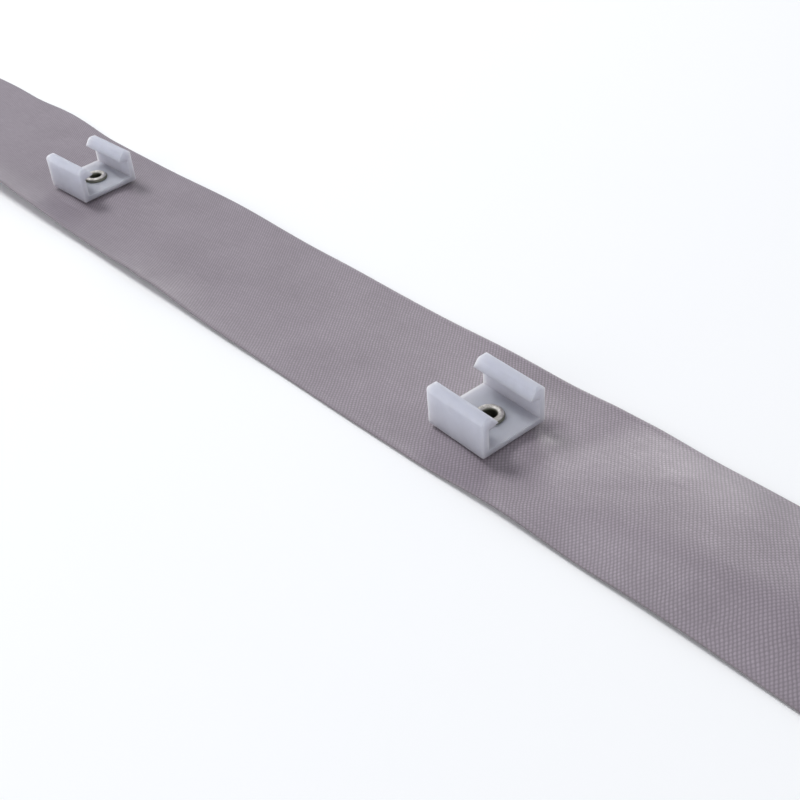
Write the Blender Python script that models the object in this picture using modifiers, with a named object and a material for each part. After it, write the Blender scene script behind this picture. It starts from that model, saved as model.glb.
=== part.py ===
"""A cut length of flat woven curtain tape with two moulded carriers, each riveted through it.

Metres, +Z up. X runs along the tape and Y across it. The origin is at the middle of the tape's
underside, and the tape lies on Z = 0, raised in shallow waves along both edges.
"""
import math

import bmesh
import bpy
from mathutils import Matrix

# Shared clearance between pieces that touch on the real product
GAP = 0.0003

# Tape
TAPE_LENGTH = 0.250
TAPE_WIDTH = 0.025
TAPE_THICKNESS = 0.001
TAPE_CELLS_ALONG = 80
TAPE_CELLS_ACROSS = 10
FLAT_HALF_WIDTH = 0.003    # middle of the tape that stays flat on the surface

# Waves along the tape's edges, seen in the photo: the far edge is at +Y, the near edge at -Y
FAR = 1
NEAR = -1
WAVE_COLUMNS = ("x", "edge", "rise", "reach")
WAVES = (
    (-0.102, FAR, 0.0006, 0.018),
    (-0.080, FAR, 0.0012, 0.022),
    (-0.024, FAR, 0.0007, 0.022),
    (0.063, FAR, 0.0004, 0.014),
    (-0.074, NEAR, 0.0023, 0.036),
    (-0.046, NEAR, 0.0009, 0.022),
    (-0.018, NEAR, 0.0011, 0.024),
    (0.062, NEAR, 0.0006, 0.015),
)

# Carrier: a C section, open upwards, which slides on a rail's flange
CARRIER_LENGTH = 0.0105
CARRIER_WIDTH = 0.0109
CARRIER_HEIGHT = 0.00605
CARRIER_FLOOR = 0.0011
CARRIER_WALL = 0.00105
CREST_RADIUS = 0.0009      # outer top corner of each wall
CREST_FLAT = 0.0008        # level top of the lip
LIP_REACH = 0.0027         # from the outer face to the lip's tip
LIP_TIP_HEIGHT = 0.0046
LIP_ROOT_HEIGHT = 0.0042
END_RADIUS = 0.0010        # rounding of the lips' ends, seen from the side
END_CROWN = 0.00015        # how far the rounding's top passes over the crest
EDGE_BEVEL = 0.00015
CARRIER_Z = TAPE_THICKNESS + GAP

# Rivet: a hollow barrel with a rolled head above the carrier's floor and a clench under the tape
BORE_RADIUS = 0.00095
BARREL_RADIUS = 0.00125
HEAD_RADIUS = 0.00205
HEAD_HEIGHT = 0.00055
CLENCH_RADIUS = 0.0020
CLENCH_HEIGHT = 0.0004
RIVET_STEPS = 28
HEAD_Z = CARRIER_Z + CARRIER_FLOOR + GAP
HOLE_RADIUS = BARREL_RADIUS + GAP
POCKET_RADIUS = CLENCH_RADIUS + GAP
POCKET_DEPTH = CLENCH_HEIGHT + GAP
HOLE_OFFSET = (0.0004, 0.0002)    # rivet hole from the middle of the carrier

# Each carrier has turned a little on its rivet
CARRIER_COLUMNS = ("number", "rivet_x", "rivet_y", "turn_deg")
CARRIERS = (
    (1, -0.0485, 0.00025, 2.5),
    (2, 0.050, -0.0013, -3.0),
)

MATERIAL_COLUMNS = ("colour", "roughness", "metallic")
WOVEN_POLYESTER = ((0.305, 0.285, 0.315), 0.62, 0.0)
MILKY_PLASTIC = ((0.62, 0.65, 0.72), 0.38, 0.0)
NICKEL = ((0.56, 0.53, 0.49), 0.28, 1.0)

ARC_STEPS = 5
SMALL_ARC_STEPS = 3
CUTTER_STEPS = 24
BEVEL_SEGMENTS = 2
BEVEL_ANGLE_DEG = 40
SHARP_ANGLE_DEG = 30
CUT_MARGIN = 0.001
WELD = 0.000001


def rows(columns, table):
    """Return each row of a table as a dictionary of its named columns."""
    return [dict(zip(columns, row)) for row in table]


def remove_all_objects():
    for item in list(bpy.data.objects):
        bpy.data.objects.remove(item, do_unlink=True)


def new_collection(name):
    group = bpy.data.collections.new(name)
    bpy.context.scene.collection.children.link(group)
    return group


def new_object(name, data, group):
    item = bpy.data.objects.new(name, data)
    group.objects.link(item)
    return item


def new_material(name, row):
    look = dict(zip(MATERIAL_COLUMNS, row))
    material = bpy.data.materials.new(name)
    material.use_nodes = True
    shader = material.node_tree.nodes["Principled BSDF"]
    shader.inputs["Base Color"].default_value = (*look["colour"], 1.0)
    shader.inputs["Roughness"].default_value = look["roughness"]
    shader.inputs["Metallic"].default_value = look["metallic"]
    material.diffuse_color = (*look["colour"], 1.0)
    return material


def arc(centre, radius, start_deg, end_deg, steps=ARC_STEPS):
    """Points along an arc, both ends included, in the plane of the outline."""
    points = []
    for step in range(steps + 1):
        angle = math.radians(start_deg + (end_deg - start_deg) * step / steps)
        points.append((centre[0] + radius * math.cos(angle), centre[1] + radius * math.sin(angle)))
    return points


def extruded_outline(name, outline, length, turn):
    """Fill a flat outline, give it a length about its middle, turn it and return it as a mesh."""
    curve = bpy.data.curves.new(name, "CURVE")
    curve.dimensions = "2D"
    curve.fill_mode = "BOTH"
    curve.extrude = length / 2
    spline = curve.splines.new("POLY")
    spline.points.add(len(outline) - 1)
    for point, (across, up) in zip(spline.points, outline):
        point.co = (across, up, 0.0, 1.0)
    spline.use_cyclic_u = True
    holder = bpy.data.objects.new(name, curve)
    bpy.context.scene.collection.objects.link(holder)
    bpy.context.view_layer.update()
    evaluated = holder.evaluated_get(bpy.context.evaluated_depsgraph_get())
    mesh = bpy.data.meshes.new_from_object(evaluated)
    mesh.name = name
    shape = bmesh.new()
    shape.from_mesh(mesh)
    bmesh.ops.remove_doubles(shape, verts=shape.verts, dist=WELD)
    bmesh.ops.transform(shape, matrix=turn, verts=shape.verts)
    bmesh.ops.recalc_face_normals(shape, faces=shape.faces)
    shape.to_mesh(mesh)
    shape.free()
    bpy.data.objects.remove(holder, do_unlink=True)
    return mesh


def add_screw(item, steps):
    """Turn a profile in the XZ plane once round Z."""
    screw = item.modifiers.new("Turned", "SCREW")
    screw.angle = math.tau
    screw.steps = steps
    screw.render_steps = steps
    screw.use_merge_vertices = True
    screw.merge_threshold = WELD


def add_boolean(item, cutter, operation):
    boolean = item.modifiers.new(operation.title(), "BOOLEAN")
    boolean.operation = operation
    boolean.solver = "EXACT"
    boolean.object = cutter


def hide_cutter(cutter):
    cutter.hide_render = True
    cutter.display_type = "WIRE"


def profile_mesh(name, points, closed):
    """Edges through (radius, height) points, in the XZ plane."""
    mesh = bpy.data.meshes.new(name)
    edges = [(index, index + 1) for index in range(len(points) - 1)]
    if closed:
        edges.append((len(points) - 1, 0))
    mesh.from_pydata([(radius, 0.0, height) for radius, height in points], edges, [])
    return mesh


def bell(distance, reach):
    """Smooth hump, 1 in its middle and 0 from its reach on."""
    if abs(distance) >= reach:
        return 0.0
    return math.cos(math.pi / 2 * distance / reach) ** 2


def tape_lift(x, y):
    """Height of the tape's underside: the edges wave and the middle lies flat."""
    past_flat = max(0.0, abs(y) - FLAT_HALF_WIDTH) / (TAPE_WIDTH / 2 - FLAT_HALF_WIDTH)
    side = FAR if y > 0 else NEAR
    lift = 0.0
    for wave in rows(WAVE_COLUMNS, WAVES):
        if wave["edge"] == side:
            lift += wave["rise"] * bell(x - wave["x"], wave["reach"]) * past_flat ** 2
    return lift


def rivet_place(carrier):
    return Matrix.Translation((carrier["rivet_x"], carrier["rivet_y"], 0.0))


def make_tape_cutter(carrier, cutters):
    """Barrel hole right through the tape, with a pocket under it where the tape rises over the clench."""
    profile = [
        (0.0, TAPE_THICKNESS + CUT_MARGIN),
        (HOLE_RADIUS, TAPE_THICKNESS + CUT_MARGIN),
        (HOLE_RADIUS, POCKET_DEPTH),
        (POCKET_RADIUS, POCKET_DEPTH),
        (POCKET_RADIUS, -CUT_MARGIN),
        (0.0, -CUT_MARGIN),
    ]
    name = f"tape_cutter_{carrier['number']}"
    cutter = new_object(name, profile_mesh(name, profile, False), cutters)
    cutter.matrix_world = rivet_place(carrier)
    add_screw(cutter, CUTTER_STEPS)
    hide_cutter(cutter)
    return cutter


def make_tape(parts, cutters, material):
    shape = bmesh.new()
    bmesh.ops.create_grid(shape, x_segments=TAPE_CELLS_ALONG, y_segments=TAPE_CELLS_ACROSS, size=0.5)
    bmesh.ops.scale(shape, vec=(TAPE_LENGTH, TAPE_WIDTH, 1.0), verts=shape.verts)
    for vertex in shape.verts:
        vertex.co.z = tape_lift(vertex.co.x, vertex.co.y)
    mesh = bpy.data.meshes.new("tape")
    shape.to_mesh(mesh)
    shape.free()
    mesh.materials.append(material)
    tape = new_object("tape", mesh, parts)
    solidify = tape.modifiers.new("Cloth", "SOLIDIFY")
    solidify.thickness = TAPE_THICKNESS
    solidify.offset = 1.0
    for carrier in rows(CARRIER_COLUMNS, CARRIERS):
        add_boolean(tape, make_tape_cutter(carrier, cutters), "DIFFERENCE")


def carrier_section():
    """Outline of the C section across the carrier, its floor's underside at height 0."""
    half = CARRIER_WIDTH / 2
    wall_top = CARRIER_HEIGHT - CREST_RADIUS
    right = [
        (half - CARRIER_WALL, CARRIER_FLOOR),
        (half - CARRIER_WALL, LIP_ROOT_HEIGHT),
        (half - LIP_REACH, LIP_TIP_HEIGHT),
        (half - CREST_RADIUS - CREST_FLAT, CARRIER_HEIGHT),
    ]
    crest = arc((half - CREST_RADIUS, wall_top), CREST_RADIUS, 90, 0)
    right += crest
    right.append((half, 0.0))
    left = [(-across, up) for across, up in reversed(right)]
    return right + left


def carrier_side():
    """Outline of the carrier from the side: its two upper corners are rounded."""
    half = CARRIER_LENGTH / 2
    top = CARRIER_HEIGHT + END_CROWN - END_RADIUS
    outline = [(-half, -CUT_MARGIN), (half, -CUT_MARGIN)]
    outline += arc((half - END_RADIUS, top), END_RADIUS, 0, 90)
    outline += arc((END_RADIUS - half, top), END_RADIUS, 90, 180)
    return outline


def make_carrier_mesh(cutters, material):
    """One moulded carrier with its rivet hole on the origin, shared by every carrier."""
    along_x = Matrix(((0, 0, 1, 0), (1, 0, 0, 0), (0, 1, 0, 0), (0, 0, 0, 1)))
    along_y = Matrix(((1, 0, 0, 0), (0, 0, -1, 0), (0, 1, 0, 0), (0, 0, 0, 1)))
    section = extruded_outline("carrier", carrier_section(), CARRIER_LENGTH + 2 * CUT_MARGIN, along_x)
    side = extruded_outline("carrier_side", carrier_side(), CARRIER_WIDTH + 2 * CUT_MARGIN, along_y)
    side_cutter = new_object("carrier_side_cutter", side, cutters)
    hide_cutter(side_cutter)

    hole = bmesh.new()
    bmesh.ops.create_cone(hole, cap_ends=True, segments=CUTTER_STEPS, radius1=HOLE_RADIUS,
                          radius2=HOLE_RADIUS, depth=CARRIER_FLOOR + 2 * CUT_MARGIN)
    bmesh.ops.translate(hole, vec=(*HOLE_OFFSET, CARRIER_FLOOR / 2), verts=hole.verts)
    hole_mesh = bpy.data.meshes.new("carrier_hole_cutter")
    hole.to_mesh(hole_mesh)
    hole.free()
    hole_cutter = new_object("carrier_hole_cutter", hole_mesh, cutters)
    hide_cutter(hole_cutter)

    blank = new_object("carrier_blank", section, cutters)
    add_boolean(blank, side_cutter, "INTERSECT")
    bevel = blank.modifiers.new("Edges", "BEVEL")
    bevel.width = EDGE_BEVEL
    bevel.segments = BEVEL_SEGMENTS
    bevel.limit_method = "ANGLE"
    bevel.angle_limit = math.radians(BEVEL_ANGLE_DEG)
    add_boolean(blank, hole_cutter, "DIFFERENCE")
    bpy.context.view_layer.update()
    evaluated = blank.evaluated_get(bpy.context.evaluated_depsgraph_get())
    mesh = bpy.data.meshes.new_from_object(evaluated)
    mesh.name = "carrier"
    mesh.transform(Matrix.Translation((-HOLE_OFFSET[0], -HOLE_OFFSET[1], 0.0)))
    mesh.materials.clear()
    mesh.materials.append(material)
    mesh.shade_smooth()
    mesh.set_sharp_from_angle(angle=math.radians(SHARP_ANGLE_DEG))
    bpy.data.objects.remove(blank, do_unlink=True)
    return mesh


def make_carriers(parts, cutters, material):
    mesh = make_carrier_mesh(cutters, material)
    for carrier in rows(CARRIER_COLUMNS, CARRIERS):
        item = new_object(f"carrier_{carrier['number']}", mesh, parts)
        item.location = (carrier["rivet_x"], carrier["rivet_y"], CARRIER_Z)
        item.rotation_euler.z = math.radians(carrier["turn_deg"])


def rivet_profile():
    """Closed section of the rivet's wall, outer side from the head down, then up the bore."""
    head_round = HEAD_HEIGHT / 2
    clench_round = CLENCH_HEIGHT / 2
    wall = BARREL_RADIUS - BORE_RADIUS
    head_top = HEAD_Z + HEAD_HEIGHT
    outer = arc((HEAD_RADIUS - head_round, HEAD_Z + head_round), head_round, 90, -90)
    outer += [(BARREL_RADIUS, HEAD_Z), (BARREL_RADIUS, CLENCH_HEIGHT)]
    outer += arc((CLENCH_RADIUS - clench_round, clench_round), clench_round, 90, -90)
    inner = arc((BORE_RADIUS + clench_round, clench_round), clench_round, 270, 180, SMALL_ARC_STEPS)
    inner += arc((BORE_RADIUS + wall, head_top - wall), wall, 180, 90, SMALL_ARC_STEPS)
    return outer + inner


def make_rivets(parts, material):
    mesh = profile_mesh("rivet", rivet_profile(), True)
    mesh.materials.append(material)
    for carrier in rows(CARRIER_COLUMNS, CARRIERS):
        item = new_object(f"rivet_{carrier['number']}", mesh, parts)
        item.matrix_world = rivet_place(carrier)
        add_screw(item, RIVET_STEPS)


def main():
    remove_all_objects()
    parts = new_collection("curtain_carrier_tape")
    cutters = new_collection("cutters")
    make_tape(parts, cutters, new_material("woven_polyester", WOVEN_POLYESTER))
    make_carriers(parts, cutters, new_material("milky_plastic", MILKY_PLASTIC))
    make_rivets(parts, new_material("nickel", NICKEL))


main()
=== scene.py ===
# Cut length of woven curtain tape with two milky carriers riveted through it, laid on a pale table
import math
import bpy
import numpy as np
from mathutils import Matrix, Vector


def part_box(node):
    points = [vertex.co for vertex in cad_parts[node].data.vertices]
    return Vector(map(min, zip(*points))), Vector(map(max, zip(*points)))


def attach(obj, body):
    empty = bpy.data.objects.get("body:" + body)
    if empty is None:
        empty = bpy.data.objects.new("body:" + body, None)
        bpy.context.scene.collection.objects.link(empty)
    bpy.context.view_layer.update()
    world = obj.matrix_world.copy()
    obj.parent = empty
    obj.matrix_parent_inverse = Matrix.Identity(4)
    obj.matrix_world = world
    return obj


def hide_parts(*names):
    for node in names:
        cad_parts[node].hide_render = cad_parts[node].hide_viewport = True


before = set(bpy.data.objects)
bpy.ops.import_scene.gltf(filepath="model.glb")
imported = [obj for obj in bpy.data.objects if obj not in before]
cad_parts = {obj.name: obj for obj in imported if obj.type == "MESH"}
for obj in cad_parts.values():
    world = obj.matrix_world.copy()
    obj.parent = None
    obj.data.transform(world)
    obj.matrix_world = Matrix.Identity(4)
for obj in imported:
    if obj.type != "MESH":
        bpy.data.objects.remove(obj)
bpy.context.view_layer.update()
mm = 0.001
print("frame loaded, nodes:", sorted(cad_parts))


# Small helpers for working by hand in object and edit mode

def deselectAll():
    if bpy.context.object and bpy.context.object.mode != "OBJECT":
        bpy.ops.object.mode_set(mode="OBJECT")
    bpy.ops.object.select_all(action="DESELECT")


def activate(piece):
    deselectAll()
    piece.select_set(True)
    bpy.context.view_layer.objects.active = piece


def startEdit(piece, selectMode):
    activate(piece)
    bpy.ops.object.mode_set(mode="EDIT")
    bpy.ops.mesh.select_mode(type=selectMode)
    bpy.ops.mesh.select_all(action="DESELECT")
    bpy.ops.object.mode_set(mode="OBJECT")


def pickFaces(piece, wanted):  # wanted(middle, normal), both in metres
    startEdit(piece, "FACE")
    for face in piece.data.polygons:
        face.select = wanted(face.center, face.normal)
    bpy.ops.object.mode_set(mode="EDIT")


def pickEdges(piece, wanted):  # wanted(oneEnd, otherEnd)
    startEdit(piece, "EDGE")
    points = piece.data.vertices
    for edge in piece.data.edges:
        edge.select = wanted(points[edge.vertices[0]].co, points[edge.vertices[1]].co)
    bpy.ops.object.mode_set(mode="EDIT")


def pickPoints(piece, wanted):  # wanted(place)
    startEdit(piece, "VERT")
    for point in piece.data.vertices:
        point.select = wanted(point.co)
    bpy.ops.object.mode_set(mode="EDIT")


def editAll(piece):  # edit mode with everything selected
    startEdit(piece, "FACE")
    bpy.ops.object.mode_set(mode="EDIT")
    bpy.ops.mesh.select_all(action="SELECT")


def turnNormalsOut(piece):
    editAll(piece)
    bpy.ops.mesh.normals_make_consistent(inside=False)
    bpy.ops.object.mode_set(mode="OBJECT")


def addBlock(size, place):
    deselectAll()
    bpy.ops.mesh.primitive_cube_add(size=1, location=place, scale=size)
    bpy.ops.object.transform_apply(location=True, rotation=True, scale=True)
    return bpy.context.object


def applyModifier(piece, kind, **settings):
    activate(piece)
    modifier = piece.modifiers.new(kind.title(), kind)
    for key, value in settings.items():
        setattr(modifier, key, value)
    bpy.ops.object.modifier_apply(modifier=modifier.name)


def combine(piece, operation, tool):  # cuts or trims the piece with a tool that is thrown away
    applyModifier(piece, "BOOLEAN", operation=operation, solver="EXACT", object=tool)
    bpy.data.objects.remove(tool, do_unlink=True)


def punchHole(piece, sides, radius, place):  # the punch is longer than any piece is thick
    deselectAll()
    bpy.ops.mesh.primitive_cylinder_add(vertices=sides, radius=radius, depth=6 * mm, location=place)
    combine(piece, "DIFFERENCE", bpy.context.object)


def smooth(piece, degrees):
    activate(piece)
    bpy.ops.object.shade_smooth_by_angle(angle=math.radians(degrees))


def settle(piece, place, turn=0.0):  # moves the mesh to its place, the object stays at the origin
    activate(piece)
    piece.location = place
    piece.rotation_euler = (0, 0, math.radians(turn))
    bpy.ops.object.transform_apply(location=True, rotation=True, scale=True)


def copyPiece(piece, name):
    twin = piece.copy()
    twin.data = piece.data.copy()
    twin.name = name
    twin.data.name = name
    bpy.context.scene.collection.objects.link(twin)
    return twin


# Camera, light and table

cameraView = {  # angles in degrees, lengths in millimetres
    "pixelFocal": 1185.7,  # focal length in pixels of the picture
    "picture": 800,  # pixels
    "sensor": 36,
    "azimuth": -39.88,
    "elevation": 38.24,
    "roll": -5.01,
    "target": (37.95, -5.89, 1.3),
    "distance": 157.58,
    "nearClip": 5,
    "farClip": 20000,
}


def makeCamera(view):
    a, e, r = (math.radians(view[key]) for key in ("azimuth", "elevation", "roll"))
    back = Vector((math.cos(a) * math.cos(e), math.sin(a) * math.cos(e), math.sin(e)))
    level = Vector((0, 0, 1)).cross(back).normalized()
    above = back.cross(level)
    right = level * math.cos(r) + above * math.sin(r)
    up = above * math.cos(r) - level * math.sin(r)
    place = Vector(view["target"]) * mm + back * view["distance"] * mm
    data = bpy.data.cameras.new("camera")
    data.sensor_width = view["sensor"]
    data.lens = view["sensor"] * view["pixelFocal"] / view["picture"]
    data.clip_start = view["nearClip"] * mm
    data.clip_end = view["farClip"] * mm
    camera = bpy.data.objects.new("camera", data)
    bpy.context.scene.collection.objects.link(camera)
    camera.matrix_world = Matrix((right, up, back)).transposed().to_4x4()
    camera.location = place
    bpy.context.scene.camera = camera


studio = {
    "worldColour": (0.93, 0.95, 1.0),
    "worldStrength": 0.56,
    "lights": {  # metres from the tape's middle, diameter in metres, watts, colour, what it lights
        "backPanel": ((-0.46, 0.80, 0.33), 0.66, 3.4, (1.0, 0.99, 0.975), "gloss"),
        "leftSoftbox": ((-0.56, -0.05, 0.80), 0.36, 5.5, (0.97, 0.985, 1.0), "body"),
        "leftGlow": ((-0.56, -0.05, 0.80), 0.36, 2.4, (0.97, 0.985, 1.0), "gloss"),
        "nearFill": ((0.05, -0.86, 0.40), 0.8, 1.4, (0.98, 0.99, 1.0), "both"),
    },
    "floorSize": 6.0,
    "floorColour": (0.97, 0.97, 0.97),
    "floorRoughness": 0.9,
    "floorSpecular": 0.1,
}


def areaLight(name, place, size, watts, colour, lit):
    data = bpy.data.lights.new(name, "AREA")
    data.shape = "DISK"
    data.size = size
    data.energy = watts
    data.color = colour
    lamp = bpy.data.objects.new(name, data)
    lamp.visible_diffuse = lit != "gloss"
    lamp.visible_glossy = lit != "body"
    bpy.context.scene.collection.objects.link(lamp)
    lamp.location = place
    lamp.rotation_euler = Vector(place).to_track_quat("Z", "Y").to_euler()


def makeStudio(s):
    world = bpy.data.worlds.new("softStudio")
    world.use_nodes = True
    backdrop = world.node_tree.nodes["Background"]
    backdrop.inputs["Color"].default_value = (*s["worldColour"], 1)
    backdrop.inputs["Strength"].default_value = s["worldStrength"]
    bpy.context.scene.world = world
    bpy.context.scene.view_settings.view_transform = "Standard"
    for name, values in s["lights"].items():
        areaLight(name, *values)
    deselectAll()
    bpy.ops.mesh.primitive_plane_add(size=s["floorSize"], location=(0, 0, 0))
    floor = bpy.context.object
    floor.name = "floor"
    material = bpy.data.materials.new("paleTable")
    material.use_nodes = True
    shader = material.node_tree.nodes["Principled BSDF"]
    shader.inputs["Base Color"].default_value = (*s["floorColour"], 1)
    shader.inputs["Roughness"].default_value = s["floorRoughness"]
    shader.inputs["Specular IOR Level"].default_value = s["floorSpecular"]
    floor.data.materials.append(material)


makeCamera(cameraView)
makeStudio(studio)
print("camera, light and table made")


# Shader helpers and the groups that several finishes share

def put(tree, kind, **settings):
    node = tree.nodes.new(kind)
    for key, value in settings.items():
        setattr(node, key, value)
    return node


def feed(tree, socket, value):  # a socket is linked, a number or colour is set
    if isinstance(value, bpy.types.NodeSocket):
        tree.links.new(value, socket)
    else:
        socket.default_value = value


def calc(tree, operation, *values):
    node = put(tree, "ShaderNodeMath", operation=operation)
    for socket, value in zip(node.inputs, values):
        feed(tree, socket, value)
    return node.outputs[0]


def mixColour(tree, factor, first, second, blend="MIX"):
    node = put(tree, "ShaderNodeMix", data_type="RGBA", blend_type=blend)
    feed(tree, node.inputs["Factor"], factor)
    feed(tree, node.inputs[6], first)
    feed(tree, node.inputs[7], second)
    return node.outputs[2]


def spread(tree, value, low, high, newLow=0.0, newHigh=1.0):
    node = put(tree, "ShaderNodeMapRange")
    for socket, number in zip(node.inputs, (value, low, high, newLow, newHigh)):
        feed(tree, socket, number)
    return node.outputs[0]


def noiseAt(tree, place, scale, detail=2.0, rough=0.5):
    node = put(tree, "ShaderNodeTexNoise")
    feed(tree, node.inputs["Vector"], place)
    feed(tree, node.inputs["Scale"], scale)
    feed(tree, node.inputs["Detail"], detail)
    feed(tree, node.inputs["Roughness"], rough)
    return node.outputs["Fac"]


def splitPlace(tree, place):
    node = put(tree, "ShaderNodeSeparateXYZ")
    feed(tree, node.inputs[0], place)
    return node.outputs


def joinPlace(tree, x, y):
    node = put(tree, "ShaderNodeCombineXYZ")
    feed(tree, node.inputs["X"], x)
    feed(tree, node.inputs["Y"], y)
    return node.outputs[0]


def addBump(tree, shader, height, strength, depth):  # depth in millimetres
    bump = put(tree, "ShaderNodeBump")
    bump.inputs["Strength"].default_value = strength
    bump.inputs["Distance"].default_value = depth * mm
    feed(tree, bump.inputs["Height"], height)
    feed(tree, shader.inputs["Normal"], bump.outputs["Normal"])


def newGroup(name, inputs, outputs):
    group = bpy.data.node_groups.new(name, "ShaderNodeTree")
    for socketName, kind, value in inputs:
        socket = group.interface.new_socket(name=socketName, in_out="INPUT", socket_type=kind)
        if value is not None:
            socket.default_value = value
    for socketName in outputs:
        group.interface.new_socket(name=socketName, in_out="OUTPUT", socket_type="NodeSocketFloat")
    return group, put(group, "NodeGroupInput").outputs, put(group, "NodeGroupOutput").inputs


def plainWeaveGroup():
    # Place is in millimetres, x along the warp and y along the weft. Lean is the twist of the yarn,
    # which joins the floats up along one diagonal.
    group, given, result = newGroup(
        "plainWeave",
        [("Place", "NodeSocketVector", None), ("Weft Pitch", "NodeSocketFloat", 0.27),
         ("Warp Pitch", "NodeSocketFloat", 0.36), ("Undulation", "NodeSocketFloat", 0.5),
         ("Lean", "NodeSocketFloat", 0.0)],
        ["Height", "Gap", "Float", "Warp On Top", "Warp Number", "Weft Number"])
    parts = splitPlace(group, given["Place"])
    alongCount = calc(group, "DIVIDE", parts["X"], given["Weft Pitch"])
    acrossCount = calc(group, "DIVIDE", parts["Y"], given["Warp Pitch"])
    weftWave = calc(group, "SINE", calc(group, "MULTIPLY", alongCount, math.pi))
    warpWave = calc(group, "SINE", calc(group, "MULTIPLY", acrossCount, math.pi))
    warpRound = calc(group, "ABSOLUTE", warpWave)
    weftRound = calc(group, "ABSOLUTE", weftWave)
    warpRise = calc(group, "MULTIPLY", calc(group, "SIGN", warpWave), weftWave)
    weftRise = calc(group, "MULTIPLY", calc(group, "SIGN", weftWave), warpWave)
    warpTop = calc(group, "MULTIPLY_ADD", warpRise, given["Undulation"], warpRound)
    weftTop = calc(group, "SUBTRACT", weftRound,
                   calc(group, "MULTIPLY", weftRise, given["Undulation"]))
    feed(group, result["Height"], calc(group, "MAXIMUM", warpTop, weftTop))
    feed(group, result["Warp On Top"], calc(group, "GREATER_THAN", warpTop, weftTop))
    weftSwing = calc(group, "COSINE", calc(group, "MULTIPLY", alongCount, math.pi))
    warpSwing = calc(group, "COSINE", calc(group, "MULTIPLY", acrossCount, math.pi))
    leaning = calc(group, "MULTIPLY", calc(group, "MULTIPLY", weftSwing, warpSwing), given["Lean"])
    floats = calc(group, "SUBTRACT", calc(group, "MULTIPLY", weftWave, warpWave), leaning)
    feed(group, result["Float"], calc(group, "MULTIPLY_ADD", floats, 0.5, 0.5))
    nearest = calc(group, "MAXIMUM", warpRound, weftRound)
    feed(group, result["Gap"], calc(group, "SUBTRACT", 1.0, nearest))
    feed(group, result["Warp Number"], calc(group, "FLOOR", acrossCount))
    feed(group, result["Weft Number"], calc(group, "FLOOR", alongCount))
    return group


def mottleGroup():
    # Broad soft blotches with a fine grain over them, for any surface
    group, given, result = newGroup(
        "mottle",
        [("Place", "NodeSocketVector", None), ("Blotch Scale", "NodeSocketFloat", 300.0),
         ("Grain Scale", "NodeSocketFloat", 6000.0), ("Grain Share", "NodeSocketFloat", 0.3)],
        ["Mask", "Grain"])
    blotch = noiseAt(group, given["Place"], given["Blotch Scale"], 3.0, 0.55)
    grain = noiseAt(group, given["Place"], given["Grain Scale"], 2.0, 0.6)
    swing = calc(group, "SUBTRACT", grain, 0.5)
    both = calc(group, "MULTIPLY_ADD", swing, given["Grain Share"], blotch)
    feed(group, result["Mask"], spread(group, both, 0.3, 0.7))
    feed(group, result["Grain"], grain)
    return group


def useGroup(tree, group, **values):
    node = put(tree, "ShaderNodeGroup", node_tree=group)
    for key, value in values.items():
        feed(tree, node.inputs[key.replace("_", " ")], value)
    return node.outputs


def mottled(tree, place, f):
    return useGroup(tree, mottleNodes, Place=place, Blotch_Scale=f["blotchScale"],
                    Grain_Scale=f["grainScale"], Grain_Share=f["grainShare"])


def newFinish(name):
    material = bpy.data.materials.new(name)
    material.use_nodes = True
    return material, material.node_tree, material.node_tree.nodes["Principled BSDF"]


weaveNodes = plainWeaveGroup()
mottleNodes = mottleGroup()


# Woven tape: one thin sheet on its waves, lifted a little over each rivet's clench

rivetPlaces = [(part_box(name)[0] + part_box(name)[1]) / 2 / mm for name in ("rivet_1", "rivet_2")]

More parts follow.
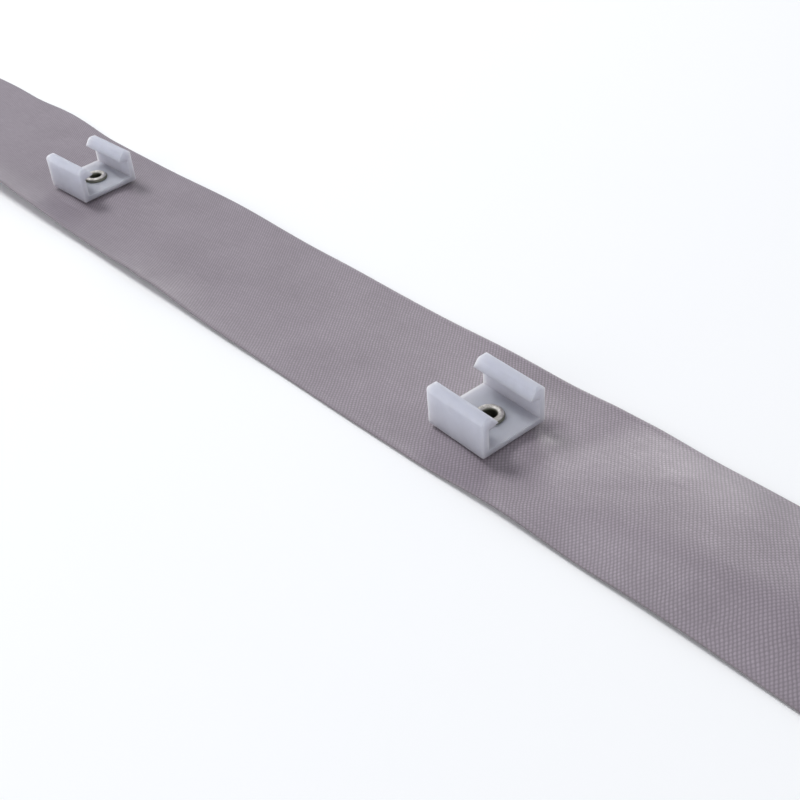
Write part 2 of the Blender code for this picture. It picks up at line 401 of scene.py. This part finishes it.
tapeSheet = {  # millimetres
    "length": 250.0,
    "width": 25.0,
    "thickness": 0.26,
    "restGap": 0.02,  # between the cloth and the table
    "cellsAlong": 600,
    "cellsAcross": 60,
    "flatHalfWidth": 3.0,  # the waves begin that far from the middle line
    "waves": [  # x, side (1 far, -1 near), rise, reach
        (-98, 1, 0.65, 24), (-78, 1, 1.1, 16), (-23, 1, 0.7, 26), (42, 1, 0.3, 14), (64, 1, 0.5, 14),
        (-70, -1, 3.15, 36), (-42, -1, 1.35, 20), (-16, -1, 1.5, 26), (8, -1, 0.4, 14),
        (62, -1, 0.55, 14), (84, -1, 0.25, 20),
    ],
    "pulls": [  # x, side, how far the arched cloth draws its edge in, reach
        (62, -1, 0.45, 16), (84, -1, 0.3, 20),
    ],
    "edgeRise": 0.24,  # both edges stand this much clear of the table all along
    "humpRise": 0.97,  # the cloth's lift where the clench holds it off the table
    "humpFlat": 1.5,  # round the rivet, before the hump falls away
    "humpReach": 5.5,
    "humpBlend": 0.25,  # share of the lower of hump and wave that is added to the higher
    "carrierReach": 7.6,  # within it a carrier keeps the cloth from rising past the hump
    # x where it starts, is full, is last full and ends, then y, half width, rise, lean to the far side
    "arches": [
        (50, 112, 113, 125.2, 0.5, 12.3, 2.2, 0.0),
        (56, 77, 84, 108, -0.4, 12.1, 1.35, 0.0),
        (62, 70, 80, 94, 0.2, 12.1, 0.40, 0.8),
        (-90, -72, -66, -56, 0.2, 12.3, 0.3, 0.4),
    ],
    "creases": [  # x, y, heading in degrees, half length, half width, height
        (62.0, 5.5, 80, 7, 2.6, -0.22),
        (74.5, 5.0, 52, 4, 1.7, 0.09),
        (70.5, -1.0, 38, 6, 1.5, -0.05),
        (56.4, -5.6, 0, 1.6, 2.2, -0.42),
        (56.6, 3.3, 0, 1.6, 1.9, -0.42),
        (57.0, -1.2, 0, 2.2, 1.6, 0.08),
        (88.0, 7.5, -60, 6, 3.0, -0.14),
        (93.0, -2.0, 35, 7, 2.4, 0.05),
        (81.0, -6.4, 0, 16, 4.2, 0.42),
        (93.0, -4.6, 0, 13, 4.4, 0.70),
        (40.0, 5.0, 160, 6, 1.4, 0.04),
        (-42.0, 4.8, 5, 3.0, 1.2, -0.15),
        (-38.5, 0.0, 0, 5, 2.2, 0.10),
        (-38.0, 7.5, 20, 9, 2.0, 0.06),
        (-15.0, -11.8, 75, 2.6, 1.8, -0.25),
        (5.0, 6.0, 80, 7, 3.0, 0.04),
        (-20.0, -4.0, 95, 6, 3.0, 0.05),
    ],
    "ripples": ((0.035, 6.1, 5.0), (0.03, 15.3, 4.4)),  # rise, then spacing along and across
    "rim": (54, 18, -18, -54),  # degrees round the selvedge, top to bottom
    "rimReach": 0.9,  # of half the thickness
    "selvedgeSwell": 0.12,  # of the thickness
    "swellReach": 0.45,
    "edgeWander": 0.04,
    "wanderWaves": ((4.3, 0.0), (9.7, 1.3)),  # spacing, phase
    "holeRadius": 1.24,
    "holeSides": 40,
}


def bell(distance, reach):
    near = np.abs(distance) < reach
    return np.where(near, np.cos(np.pi / 2 * np.clip(distance / reach, -1, 1)) ** 2, 0.0)


def tapeLift(t, x, y):  # height of the cloth's underside
    past = np.clip(np.abs(y) - t["flatHalfWidth"], 0, None) / (t["width"] / 2 - t["flatHalfWidth"])
    lift = np.zeros_like(x)
    for waveX, side, rise, reach in t["waves"]:
        lift += rise * bell(x - waveX, reach) * past ** 2 * (y * side > 0)
    lift += t["edgeRise"] * past ** 2
    for startX, fullX, lastX, endX, archY, halfWidth, rise, lean in t["arches"]:
        ramp = np.clip((x - startX) / (fullX - startX), 0, 1)
        ramp = ramp * np.clip((endX - x) / (endX - lastX), 0, 1)
        off = np.clip((y - archY) / halfWidth, -1, 1)
        lift += rise * ramp ** 2 * (3 - 2 * ramp) * (1 - off ** 2) * (1 + lean * off)
    for rivet in rivetPlaces:
        away = np.hypot(x - rivet.x, y - rivet.y)
        fall = np.clip(away - t["humpFlat"], 0, None) / t["humpReach"]
        hump = t["humpRise"] / (1 + fall ** 3)
        lower = t["humpBlend"] * np.minimum(lift, hump) * (away > t["humpFlat"])
        lift = np.maximum(lift, hump) + lower
    for creaseX, creaseY, heading, halfLength, halfWidth, height in t["creases"]:
        turn = math.radians(heading)
        along = (x - creaseX) * math.cos(turn) + (y - creaseY) * math.sin(turn)
        aside = (y - creaseY) * math.cos(turn) - (x - creaseX) * math.sin(turn)
        lift += height * np.exp(-(along / halfLength) ** 2 - (aside / halfWidth) ** 2)
    fine, broad = t["ripples"]
    lift += (fine[0] * np.sin(x / fine[1] + np.sin(y / fine[2]))
             + broad[0] * np.sin(x / broad[1] + y / broad[2]))
    for rivet in rivetPlaces:
        covered = np.hypot(x - rivet.x, y - rivet.y) < t["carrierReach"]
        lift = np.where(covered, np.minimum(lift, t["humpRise"]), lift)
    return np.maximum(lift, 0) + t["restGap"]


def makeTape(t):
    half = (t["width"] - t["thickness"]) / 2
    stations = np.linspace(-t["length"] / 2, t["length"] / 2, t["cellsAlong"] + 1)
    across = np.linspace(-half, half, t["cellsAcross"] + 1)
    rim = np.radians(t["rim"])
    radius = t["thickness"] / 2
    sectionY = np.concatenate([across, half + radius * np.cos(rim) * t["rimReach"],
                               across[::-1], -half - radius * np.cos(rim[::-1]) * t["rimReach"]])
    level = np.concatenate([np.ones_like(across), (1 + np.sin(rim)) / 2,
                            np.zeros_like(across), (1 + np.sin(rim[::-1])) / 2])
    x, y = np.meshgrid(stations, sectionY, indexing="ij")
    sway = sum(np.sin(x / spacing + phase) for spacing, phase in t["wanderWaves"])
    wander = t["edgeWander"] * sway * np.clip(y / half, -1, 1)
    for pullX, side, inwards, reach in t["pulls"]:
        wander = wander - side * inwards * bell(x - pullX, reach) * (y / half) ** 2 * (y * side > 0)
    swell = 1 + t["selvedgeSwell"] * np.exp(-((half - np.abs(y)) / t["swellReach"]) ** 2)
    z = tapeLift(t, x, np.clip(y, -half, half)) + level * t["thickness"] * swell
    count = len(sectionY)
    points = np.stack([x, y + wander, z], axis=-1).reshape(-1, 3) * mm
    steps = np.arange(t["cellsAlong"])[:, None] * count
    ring = np.arange(count)[None, :]
    following = (ring + 1) % count
    quads = np.stack([steps + ring, steps + following,
                      steps + count + following, steps + count + ring], -1)
    faces = quads.reshape(-1, 4)[:, ::-1].tolist()
    top = t["cellsAcross"]
    for base, order in ((0, 1), (t["cellsAlong"] * count, -1)):  # the two cut ends
        farRim = list(range(top, top + len(rim) + 2))
        nearRim = list(range(2 * top + len(rim) + 1, count)) + [0]
        strips = [[j, j + 1, 2 * top + len(rim) - j, 2 * top + len(rim) + 1 - j] for j in range(top)]
        faces += [[base + k for k in strip][::order] for strip in [farRim, nearRim, *strips]]
    mesh = bpy.data.meshes.new("wovenTape")
    mesh.from_pydata(points.tolist(), [], faces)
    mesh.update()
    layer = mesh.uv_layers.new(name="clothPlace")
    corners = np.empty(len(mesh.loops), dtype=np.int32)
    mesh.loops.foreach_get("vertex_index", corners)
    flatPlace = np.stack([x / t["length"] + 0.5, y / t["width"] + 0.5], axis=-1).reshape(-1, 2)
    layer.data.foreach_set("uv", flatPlace[corners].astype(np.float32).ravel())
    cloth = bpy.data.objects.new("wovenTape", mesh)
    bpy.context.scene.collection.objects.link(cloth)
    turnNormalsOut(cloth)
    for rivet in rivetPlaces:  # the punched holes that the barrels pass through
        punchHole(cloth, t["holeSides"], t["holeRadius"] * mm, (rivet.x * mm, rivet.y * mm, 1 * mm))
    smooth(cloth, 60)
    return cloth


tapeFinish = {
    "weftPitch": 0.270,  # millimetres
    "warpPitch": 0.357,
    "weaveSkew": -0.013,
    "wobble": 0.5,  # range in millimetres in which the weft strays along the tape
    "wobbleScale": 0.25,
    "wobbleAcross": 0.4,  # its share across the tape
    "light": (0.277, 0.235, 0.270, 1),
    "dark": (0.202, 0.170, 0.195, 1),
    "floatSheen": 0.22,  # painted sheen: how much lighter the warp floats are painted than the weft floats
    "floatLean": 0.25,
    "undulation": 1.0,
    "slubStretch": (0.35, 0.83),  # how fast the slubs change along a warp end and from end to end
    "bandStretch": (0.71, 0.09),  # the same for the weft, from thread to thread and along one
    "toneShares": (0.55, 0.45),  # threads, blotches
    "blotchScale": 90.0,
    "grainScale": 2500.0,
    "grainShare": 0.25,
    # painted shade in the gaps between the threads
    "gapShade": (0.103, 0.089, 0.099, 1),
    "gapShadeShare": 0.25,
    # painted shadow: a dark line along both selvedges
    "edge": (0.132, 0.108, 0.108, 1),
    "edgeShadeShare": 0.85,
    "edgeShadeFade": (0.16, 0.06),  # millimetres inside and outside the selvedge
    "roughness": 0.46,
    "roughnessSwing": 0.1,
    "specular": 0.7,
    "sheen": 0.15,
    "sheenRoughness": 0.4,
    "threadStrength": 1.0,
    "threadDepth": 0.006,  # millimetres
}


def tapeMaterial(f, t):
    material, tree, shader = newFinish("greyWovenPolyester")
    place = put(tree, "ShaderNodeUVMap", uv_map="clothPlace").outputs["UV"]
    inMm = put(tree, "ShaderNodeMapping")
    feed(tree, inMm.inputs["Vector"], place)
    inMm.inputs["Location"].default_value = (-t["length"] / 2, -t["width"] / 2, 0)
    inMm.inputs["Scale"].default_value = (t["length"], t["width"], 1)
    flat = inMm.outputs[0]
    axes = splitPlace(tree, flat)
    along, side = axes["X"], axes["Y"]
    stray = calc(tree, "SUBTRACT", noiseAt(tree, flat, f["wobbleScale"], 2.0), 0.5)
    wobble = calc(tree, "MULTIPLY", stray, f["wobble"])
    skewedAlong = calc(tree, "ADD", calc(tree, "MULTIPLY_ADD", side, f["weaveSkew"], along), wobble)
    skewed = joinPlace(tree, skewedAlong, calc(tree, "MULTIPLY_ADD", wobble, f["wobbleAcross"], side))
    weave = useGroup(tree, weaveNodes, Place=skewed, Weft_Pitch=f["weftPitch"],
                     Warp_Pitch=f["warpPitch"], Undulation=f["undulation"], Lean=f["floatLean"])

    slubAlong, slubAcross = f["slubStretch"]  # slubs run a few millimetres along one warp end
    slubPlace = joinPlace(tree, calc(tree, "MULTIPLY", along, slubAlong),
                          calc(tree, "MULTIPLY", weave["Warp Number"], slubAcross))
    slub = noiseAt(tree, slubPlace, 1.0, 2.0, 0.6)
    bandAlong, bandAcross = f["bandStretch"]
    bandPlace = joinPlace(tree, calc(tree, "MULTIPLY", weave["Weft Number"], bandAlong),
                          calc(tree, "MULTIPLY", side, bandAcross))
    band = spread(tree, noiseAt(tree, bandPlace, 1.0, 2.0, 0.6), 0.0, 1.0, 0.3, 0.7)
    threads = calc(tree, "MULTIPLY_ADD", weave["Warp On Top"], calc(tree, "SUBTRACT", slub, band), band)
    mottle = mottled(tree, put(tree, "ShaderNodeTexCoord").outputs["Object"], f)
    threadShare, blotchShare = f["toneShares"]
    tone = calc(tree, "MULTIPLY_ADD", spread(tree, threads, 0.3, 0.7), threadShare,
                calc(tree, "MULTIPLY", mottle["Mask"], blotchShare))
    cloth = mixColour(tree, tone, f["dark"], f["light"])
    # painted sheen: the colour is lightened on the warp floats and darkened on the weft floats,
    # standing in for the sheen of the threads
    floatSheen = spread(tree, weave["Float"], 0.15, 0.85, 1 - f["floatSheen"], 1 + f["floatSheen"])
    floatSheenColour = put(tree, "ShaderNodeCombineColor")
    for socket in floatSheenColour.inputs[:3]:
        feed(tree, socket, floatSheen)
    cloth = mixColour(tree, 1.0, cloth, floatSheenColour.outputs[0], "MULTIPLY")
    # painted shade: the gaps between the threads are darkened in the colour
    gapShadeMask = spread(tree, weave["Gap"], 0.15, 0.8)
    cloth = mixColour(tree, calc(tree, "MULTIPLY", gapShadeMask, f["gapShadeShare"]), cloth, f["gapShade"])
    # painted shadow: both selvedges are darkened in the colour
    inside, outside = f["edgeShadeFade"]
    selvedge = t["width"] / 2
    edgeShadeMask = spread(tree, calc(tree, "ABSOLUTE", side), selvedge - inside, selvedge + outside)
    cloth = mixColour(tree, calc(tree, "MULTIPLY", edgeShadeMask, f["edgeShadeShare"]), cloth, f["edge"])
    feed(tree, shader.inputs["Base Color"], cloth)
    roughest, smoothest = f["roughness"] + f["roughnessSwing"], f["roughness"] - f["roughnessSwing"]
    feed(tree, shader.inputs["Roughness"], spread(tree, threads, 0.2, 0.8, roughest, smoothest))
    shader.inputs["Specular IOR Level"].default_value = f["specular"]
    shader.inputs["Sheen Weight"].default_value = f["sheen"]
    shader.inputs["Sheen Roughness"].default_value = f["sheenRoughness"]
    addBump(tree, shader, weave["Height"], f["threadStrength"], f["threadDepth"])
    return material


wovenTape = makeTape(tapeSheet)
wovenTape.data.materials.append(tapeMaterial(tapeFinish, tapeSheet))
print("woven tape made,", len(wovenTape.data.polygons), "faces")


# Milky carriers: a C section with soft moulded edges, modelled once about its middle

carrierShape = {  # millimetres, turns in degrees
    "length": 10.5,
    "width": 10.9,
    "height": 6.05,
    "floor": 1.1,
    "wall": 1.05,
    "lipRoot": 4.2,
    "lipTip": 4.6,
    "lipReach": 2.7,  # outer face to lip tip
    "crestRound": 1.05,
    "crestInner": 1.6,  # outer face to where the crest turns down to the tip
    "crestBlend": 0.45,
    "endRound": 0.7,
    "endCrown": 0.1,  # how far the end rounding's top passes over the crest
    "cornerRound": 0.3,  # outer corners and bottom edges
    "shave": 0.01,  # keeps the sides of the rounding mould clear of the block's own
    "softEdge": 0.22,  # at most, where the small faces at the lips leave room for it
    "softAngle": 24,  # degrees, the smallest bend that is softened
    "hole": (0.4, 0.2),  # rivet hole from the carrier's middle
    "holeRadius": 1.4,
    "holeSides": 48,
    "turns": {"carrier_1": 2.5, "carrier_2": -3.0},  # each has turned a little on its rivet
}


def makeCarrier(c):
    halfLength, halfWidth = c["length"] / 2 * mm, c["width"] / 2 * mm
    innerWall = halfWidth - c["wall"] * mm
    top = c["height"] * mm
    close = 0.01 * mm
    block = addBlock((c["length"] * mm, c["width"] * mm, c["floor"] * mm), (0, 0, c["floor"] / 2 * mm))
    for side in (-1, 1):  # mark the walls off on the floor
        editAll(block)
        bpy.ops.mesh.bisect(plane_co=(0, side * innerWall, 0), plane_no=(0, 1, 0))
        bpy.ops.object.mode_set(mode="OBJECT")
    for rise in (c["lipRoot"] - c["floor"], c["height"] - c["lipRoot"]):  # walls, then the lips' roots
        pickFaces(block, lambda middle, normal: normal.z > 0.9 and abs(middle.y) > innerWall)
        bpy.ops.mesh.extrude_region_move(TRANSFORM_OT_translate={"value": (0, 0, rise * mm)})
        bpy.ops.object.mode_set(mode="OBJECT")
    for side in (-1, 1):  # lips turned in over the channel
        pickFaces(block, lambda middle, normal: normal.y * side < -0.9 and middle.z > c["lipRoot"] * mm
                  and abs(middle.y - side * innerWall) < close)
        inward = -side * (c["lipReach"] - c["wall"]) * mm
        bpy.ops.mesh.extrude_region_move(TRANSFORM_OT_translate={"value": (0, inward, 0)})
        bpy.ops.object.mode_set(mode="OBJECT")
        tip = halfWidth - c["lipReach"] * mm
        pickPoints(block, lambda place: abs(place.y - side * tip) < close and place.z > top - close)
        outward = side * (c["lipReach"] - c["crestInner"]) * mm
        bpy.ops.transform.translate(value=(0, outward, 0))
        bpy.ops.object.mode_set(mode="OBJECT")
        pickPoints(block, lambda place: abs(place.y - side * tip) < close and place.z < top - close)
        bpy.ops.transform.translate(value=(0, 0, (c["lipTip"] - c["lipRoot"]) * mm))
        bpy.ops.object.mode_set(mode="OBJECT")
    pickEdges(block, lambda one, two: max(one.z, two.z) > top - close
              and max(abs(abs(one.y) - innerWall), abs(abs(two.y) - innerWall)) < close)
    bpy.ops.mesh.dissolve_edges()  # the lines between each wall and its lip, on the crest and the ends
    bpy.ops.object.mode_set(mode="OBJECT")
    for distance, radius, steps in ((0, "crestRound", 8), (c["crestInner"] * mm, "crestBlend", 5)):
        line = halfWidth - distance
        pickEdges(block, lambda one, two: min(one.z, two.z) > top - close
                  and max(abs(line - abs(one.y)), abs(line - abs(two.y))) < close)
        bpy.ops.mesh.bevel(offset=c[radius] * mm, segments=steps, affect="EDGES")
        bpy.ops.object.mode_set(mode="OBJECT")
    trimCarrierEnds(block, c)
    applyModifier(block, "BEVEL", width=c["softEdge"] * mm, segments=3, limit_method="ANGLE",
                  angle_limit=math.radians(c["softAngle"]), use_clamp_overlap=True)
    punchHole(block, c["holeSides"], c["holeRadius"] * mm, (c["hole"][0] * mm, c["hole"][1] * mm, 0))
    smooth(block, 40)
    return block


def trimCarrierEnds(block, c):  # rounds the lips' ends, the outer corners and the bottom edges
    lowest = c["shave"] * mm
    highest = (c["height"] + c["endCrown"]) * mm
    side = c["width"] / 2 * mm - lowest
    close = 0.002 * mm
    mould = addBlock((c["length"] * mm, 2 * side, highest - lowest), (0, 0, (lowest + highest) / 2))
    pickEdges(mould, lambda one, two: min(one.z, two.z) > highest - close
              and abs(one.x - two.x) < close)
    bpy.ops.mesh.bevel(offset=c["endRound"] * mm, segments=8, affect="EDGES")
    bpy.ops.object.mode_set(mode="OBJECT")
    pickEdges(mould, lambda one, two: max(one.z, two.z) < lowest + close
              or (abs(one.y - two.y) < close and abs(one.y) > side - close))
    bpy.ops.mesh.bevel(offset=c["cornerRound"] * mm, segments=4, affect="EDGES")
    bpy.ops.object.mode_set(mode="OBJECT")
    combine(block, "INTERSECT", mould)


plasticFinish = {
    "light": (0.522, 0.533, 0.608, 1),
    "dark": (0.473, 0.482, 0.547, 1),
    # painted shade: the lowest part of each carrier, next to the tape, is darker
    "lowShade": (0.444, 0.432, 0.458, 1),
    # painted shade: the crests at the top of the walls are darker
    "crest": (0.424, 0.434, 0.498, 1),
    "crestShadeFade": (5.5, 6.05),  # millimetres above the carrier's underside
    "lowShadeHeight": 4.2,  # millimetres above the carrier's underside over which the painted shade fades out
    "lowShadeShare": 0.6,
    "blotchScale": 420.0,
    "grainScale": 5200.0,
    "grainShare": 0.2,
    "roughness": 0.6,
    "roughnessSwing": (-0.05, 0.07),
    "specular": 0.15,
    "milkRadius": (1.0, 0.95, 0.9),
    "milkScale": 5.5,  # millimetres that light spreads inside the plastic
    "grainStrength": 0.5,
    "grainDepth": 0.004,  # millimetres
}


def plasticMaterial(f, underside):
    material, tree, shader = newFinish("milkyNylon")
    place = put(tree, "ShaderNodeTexCoord").outputs["Object"]
    mottle = mottled(tree, place, f)
    level = splitPlace(tree, place)["Z"]
    # painted shade, darkest at the carrier's underside and gone at the given height
    height = spread(tree, level, underside, underside + f["lowShadeHeight"] * mm)
    body = mixColour(tree, mottle["Mask"], f["dark"], f["light"])
    body = mixColour(tree, height, mixColour(tree, f["lowShadeShare"], body, f["lowShade"]), body)
    # painted shade: the crest at the top is darkened in the colour
    crest = spread(tree, level, *(underside + rise * mm for rise in f["crestShadeFade"]))
    body = mixColour(tree, crest, body, f["crest"])
    feed(tree, shader.inputs["Base Color"], body)
    bounds = [f["roughness"] + swing for swing in f["roughnessSwing"]]
    feed(tree, shader.inputs["Roughness"], spread(tree, mottle["Mask"], 0.0, 1.0, *bounds))
    shader.inputs["Subsurface Weight"].default_value = 1.0
    shader.inputs["Subsurface Radius"].default_value = f["milkRadius"]
    shader.inputs["Subsurface Scale"].default_value = f["milkScale"] * mm
    shader.inputs["Specular IOR Level"].default_value = f["specular"]
    addBump(tree, shader, mottle["Grain"], f["grainStrength"], f["grainDepth"])
    return material


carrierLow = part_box("carrier_1")[0].z
milkyNylon = plasticMaterial(plasticFinish, carrierLow)
milkyCarrier = makeCarrier(carrierShape)
for node, turn in carrierShape["turns"].items():
    low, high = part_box(node)
    piece = copyPiece(milkyCarrier, "milky_" + node)
    piece.data.materials.clear()
    piece.data.materials.append(milkyNylon)
    settle(piece, ((low.x + high.x) / 2, (low.y + high.y) / 2, low.z), turn)
    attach(piece, "root")
    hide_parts(node)
bpy.data.objects.remove(milkyCarrier, do_unlink=True)


# Rivets: a thin barrel whose ends are curled outwards, a rolled head above and a clench below

rivetShape = {  # millimetres, the curl's turn in degrees
    "sides": 72,
    "barrelMiddle": 1.09,  # radius to the middle of the wall
    "wall": 0.26,
    "headCurl": 0.41,
    "clenchCurl": 0.36,
    "headBase": 0.10,  # the curl's centre above the carrier's floor
    "clenchBase": 0.02,  # the clench's lowest point above the table
    "curlSteps": 12,
    "curlTurn": 232.0,
    "rimEdge": 0.06,
}


def curlRim(tube, r, rimHeight, up, curl):  # rolls an open end outwards, step by step
    pickPoints(tube, lambda place: abs(place.z - rimHeight) < 0.01 * mm)
    radius, height = r["barrelMiddle"], 0.0
    for step in range(1, r["curlSteps"] + 1):
        angle = math.radians(180 - r["curlTurn"] * step / r["curlSteps"])
        newRadius = r["barrelMiddle"] + curl + curl * math.cos(angle)
        newHeight = curl * math.sin(angle)
        bpy.ops.mesh.extrude_region_move(
            TRANSFORM_OT_translate={"value": (0, 0, up * (newHeight - height) * mm)})
        grow = newRadius / radius
        bpy.ops.transform.resize(value=(grow, grow, 1), center_override=(0, 0, 0))
        radius, height = newRadius, newHeight
    bpy.ops.object.mode_set(mode="OBJECT")


def makeRivet(r, floorTop):
    upper = floorTop + r["headBase"] * mm
    lower = (r["clenchBase"] + r["clenchCurl"] + r["wall"] / 2) * mm
    deselectAll()
    bpy.ops.mesh.primitive_cylinder_add(vertices=r["sides"], radius=r["barrelMiddle"] * mm,
                                        depth=upper - lower, end_fill_type="NOTHING",
                                        location=(0, 0, (upper + lower) / 2))
    tube = bpy.context.object
    bpy.ops.object.transform_apply(location=True, rotation=True, scale=True)
    curlRim(tube, r, upper, 1, r["headCurl"])
    curlRim(tube, r, lower, -1, r["clenchCurl"])
    turnNormalsOut(tube)
    applyModifier(tube, "SOLIDIFY", thickness=r["wall"] * mm, offset=0.0, use_even_offset=True)
    applyModifier(tube, "BEVEL", width=r["rimEdge"] * mm, segments=2, limit_method="ANGLE",
                  angle_limit=math.radians(50))
    smooth(tube, 40)
    return tube


nickelFinish = {
    "bright": (0.96, 0.92, 0.87, 1),
    "dull": (0.50, 0.47, 0.42, 1),
    "lowerMetal": (0.215, 0.215, 0.17, 1),
    "crownFade": (0.12, 0.24),  # millimetres below the head's top, from the bright top to the darker metal below
    "blotchScale": 1500.0,
    "grainScale": 9000.0,
    "grainShare": 0.4,
    "roughness": 0.36,
    "roughnessSwing": 0.14,
    "grainStrength": 0.4,
    "grainDepth": 0.006,  # millimetres
}


def nickelMaterial(f, headTop):
    material, tree, shader = newFinish("rolledNickel")
    place = put(tree, "ShaderNodeTexCoord").outputs["Object"]
    mottle = mottled(tree, place, f)
    metal = mixColour(tree, mottle["Mask"], f["dull"], f["bright"])
    level = splitPlace(tree, place)["Z"]
    # the metal is darker below the head's top
    lowered = spread(tree, level, *(headTop - depth * mm for depth in f["crownFade"]))
    metal = mixColour(tree, lowered, metal, f["lowerMetal"])
    feed(tree, shader.inputs["Base Color"], metal)
    shader.inputs["Metallic"].default_value = 1.0
    bounds = (f["roughness"] + f["roughnessSwing"], f["roughness"])
    feed(tree, shader.inputs["Roughness"], spread(tree, mottle["Mask"], 0.0, 1.0, *bounds))
    addBump(tree, shader, mottle["Grain"], f["grainStrength"], f["grainDepth"])
    return material


rolledRivet = makeRivet(rivetShape, carrierLow + carrierShape["floor"] * mm)
rolledNickel = nickelMaterial(nickelFinish, max(point.co.z for point in rolledRivet.data.vertices))
for node, rivet in zip(("rivet_1", "rivet_2"), rivetPlaces):
    piece = copyPiece(rolledRivet, "rolled_" + node)
    piece.data.materials.clear()
    piece.data.materials.append(rolledNickel)
    settle(piece, (rivet.x * mm, rivet.y * mm, 0))
    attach(piece, "root")
    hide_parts(node)
bpy.data.objects.remove(rolledRivet, do_unlink=True)

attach(wovenTape, "root")
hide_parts("tape")
